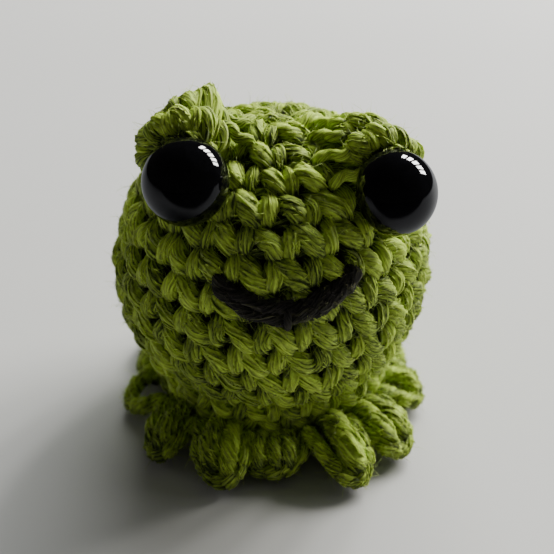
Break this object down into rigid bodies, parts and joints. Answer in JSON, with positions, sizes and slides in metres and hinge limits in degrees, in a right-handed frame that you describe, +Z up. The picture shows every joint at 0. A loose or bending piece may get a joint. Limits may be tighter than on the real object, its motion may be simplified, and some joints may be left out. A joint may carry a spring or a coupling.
{
  "type": "crocheted frog toy",
  "caption": "Small stuffed crocheted frog: a round yarn ball with raised eye mounds, domed safety eyes, a sewn smile and a lobed skirt at its foot.",
  "frame": {"origin": "centre of the flat face it rests on, under the ball's axis", "axes": "+Z up through the crown of the ball; the face looks along -Y; +X is the toy's own left, a viewer's right"},
  "size_m": [0.049, 0.0539, 0.0534],
  "materials": {
    "green_yarn": "soft acrylic worsted yarn, single crochet, lime to olive green",
    "black_yarn": "soft black yarn",
    "eye_black": "polished black plastic",
    "washer_white": "translucent white moulded plastic",
    "fibrefill": "white polyester fibrefill"
  },
  "bodies": {
    "head": {"head_cover": "green_yarn", "stuffing": "fibrefill", "closing_yarn": "green_yarn", "left_eye_mound": "green_yarn", "right_eye_mound": "green_yarn", "left_mound_sewing": "green_yarn", "right_mound_sewing": "green_yarn", "smile_yarn": "black_yarn", "smile_tack": "black_yarn", "smile_knot_left": "black_yarn", "smile_knot_right": "black_yarn", "skirt_band": "green_yarn"},
    "left_eye_body": {"left_eye": "eye_black", "left_eye_washer": "washer_white"},
    "right_eye_body": {"right_eye": "eye_black", "right_eye_washer": "washer_white"},
    "skirt_lobe_01_body": {"skirt_lobe_01": "green_yarn"},
    "skirt_lobe_02_body": {"skirt_lobe_02": "green_yarn"},
    "skirt_lobe_03_body": {"skirt_lobe_03": "green_yarn"},
    "skirt_lobe_04_body": {"skirt_lobe_04": "green_yarn"},
    "skirt_lobe_05_body": {"skirt_lobe_05": "green_yarn"},
    "skirt_lobe_06_body": {"skirt_lobe_06": "green_yarn"},
    "skirt_lobe_07_body": {"skirt_lobe_07": "green_yarn"},
    "skirt_lobe_08_body": {"skirt_lobe_08": "green_yarn"},
    "skirt_lobe_09_body": {"skirt_lobe_09": "green_yarn"},
    "skirt_lobe_10_body": {"skirt_lobe_10": "green_yarn"},
    "skirt_lobe_11_body": {"skirt_lobe_11": "green_yarn"},
    "skirt_lobe_12_body": {"skirt_lobe_12": "green_yarn"},
    "skirt_lobe_13_body": {"skirt_lobe_13": "green_yarn"},
    "skirt_lobe_14_body": {"skirt_lobe_14": "green_yarn"},
    "skirt_lobe_15_body": {"skirt_lobe_15": "green_yarn"}
  },
  "joints": [
    {"name": "left_eye_turn", "type": "hinge", "parent": "head", "child": "left_eye_body", "pos_m": [0.01541, -0.01437, 0.04168], "axis": [0.3937, -0.7405, 0.5446], "continuous": true},
    {"name": "right_eye_turn", "type": "hinge", "parent": "head", "child": "right_eye_body", "pos_m": [-0.01293, -0.01329, 0.04431], "axis": [-0.3462, -0.7424, 0.5736], "continuous": true},
    {"name": "skirt_lobe_01_flex", "type": "hinge", "parent": "head", "child": "skirt_lobe_01_body", "pos_m": [-0.00059, -0.01677, 0.00401], "axis": [-0.9994, 0.0349, 0], "range_deg": [-5, 30], "stiffness_Nm_per_rad": 0.0003},
    {"name": "skirt_lobe_02_flex", "type": "hinge", "parent": "head", "child": "skirt_lobe_02_body", "pos_m": [0.00546, -0.01586, 0.00401], "axis": [-0.9455, -0.3256, 0], "range_deg": [-5, 30], "stiffness_Nm_per_rad": 0.0003},
    {"name": "skirt_lobe_03_flex", "type": "hinge", "parent": "head", "child": "skirt_lobe_03_body", "pos_m": [0.01078, -0.01285, 0.00401], "axis": [-0.766, -0.6428, 0], "range_deg": [-5, 30], "stiffness_Nm_per_rad": 0.0003},
    {"name": "skirt_lobe_04_flex", "type": "hinge", "parent": "head", "child": "skirt_lobe_04_body", "pos_m": [0.01544, -0.00656, 0.00401], "axis": [-0.3907, -0.9205, 0], "range_deg": [-5, 30], "stiffness_Nm_per_rad": 0.0003},
    {"name": "skirt_lobe_05_flex", "type": "hinge", "parent": "head", "child": "skirt_lobe_05_body", "pos_m": [0.01677, 0.00029, 0.00401], "axis": [0.0175, -0.9998, 0], "range_deg": [-5, 30], "stiffness_Nm_per_rad": 0.0003},
    {"name": "skirt_lobe_06_flex", "type": "hinge", "parent": "head", "child": "skirt_lobe_06_body", "pos_m": [0.0152, 0.00709, 0.00401], "axis": [0.4226, -0.9063, 0], "range_deg": [-5, 30], "stiffness_Nm_per_rad": 0.0003},
    {"name": "skirt_lobe_07_flex", "type": "hinge", "parent": "head", "child": "skirt_lobe_07_body", "pos_m": [0.01101, 0.01266, 0.00401], "axis": [0.7547, -0.6561, 0], "range_deg": [-5, 30], "stiffness_Nm_per_rad": 0.0003},
    {"name": "skirt_lobe_08_flex", "type": "hinge", "parent": "head", "child": "skirt_lobe_08_body", "pos_m": [0.0049, 0.01604, 0.00401], "axis": [0.9563, -0.2924, 0], "range_deg": [-5, 30], "stiffness_Nm_per_rad": 0.0003},
    {"name": "skirt_lobe_09_flex", "type": "hinge", "parent": "head", "child": "skirt_lobe_09_body", "pos_m": [-0.00204, 0.01665, 0.00401], "axis": [0.9925, 0.1219, 0], "range_deg": [-5, 30], "stiffness_Nm_per_rad": 0.0003},
    {"name": "skirt_lobe_10_flex", "type": "hinge", "parent": "head", "child": "skirt_lobe_10_body", "pos_m": [-0.00864, 0.01438, 0.00401], "axis": [0.8572, 0.515, 0], "range_deg": [-5, 30], "stiffness_Nm_per_rad": 0.0003},
    {"name": "skirt_lobe_11_flex", "type": "hinge", "parent": "head", "child": "skirt_lobe_11_body", "pos_m": [-0.01374, 0.00962, 0.00401], "axis": [0.5736, 0.8192, 0], "range_deg": [-5, 30], "stiffness_Nm_per_rad": 0.0003},
    {"name": "skirt_lobe_12_flex", "type": "hinge", "parent": "head", "child": "skirt_lobe_12_body", "pos_m": [-0.01652, 0.00291, 0.00401], "axis": [0.1736, 0.9848, 0], "range_deg": [-5, 30], "stiffness_Nm_per_rad": 0.0003},
    {"name": "skirt_lobe_13_flex", "type": "hinge", "parent": "head", "child": "skirt_lobe_13_body", "pos_m": [-0.01628, -0.00406, 0.00401], "axis": [-0.2419, 0.9703, 0], "range_deg": [-5, 30], "stiffness_Nm_per_rad": 0.0003},
    {"name": "skirt_lobe_14_flex", "type": "hinge", "parent": "head", "child": "skirt_lobe_14_body", "pos_m": [-0.01285, -0.01078, 0.00401], "axis": [-0.6428, 0.766, 0], "range_deg": [-5, 30], "stiffness_Nm_per_rad": 0.0003},
    {"name": "skirt_lobe_15_flex", "type": "hinge", "parent": "head", "child": "skirt_lobe_15_body", "pos_m": [-0.00709, -0.0152, 0.00401], "axis": [-0.9063, 0.4226, 0], "range_deg": [-5, 30], "stiffness_Nm_per_rad": 0.0003}
  ]
}
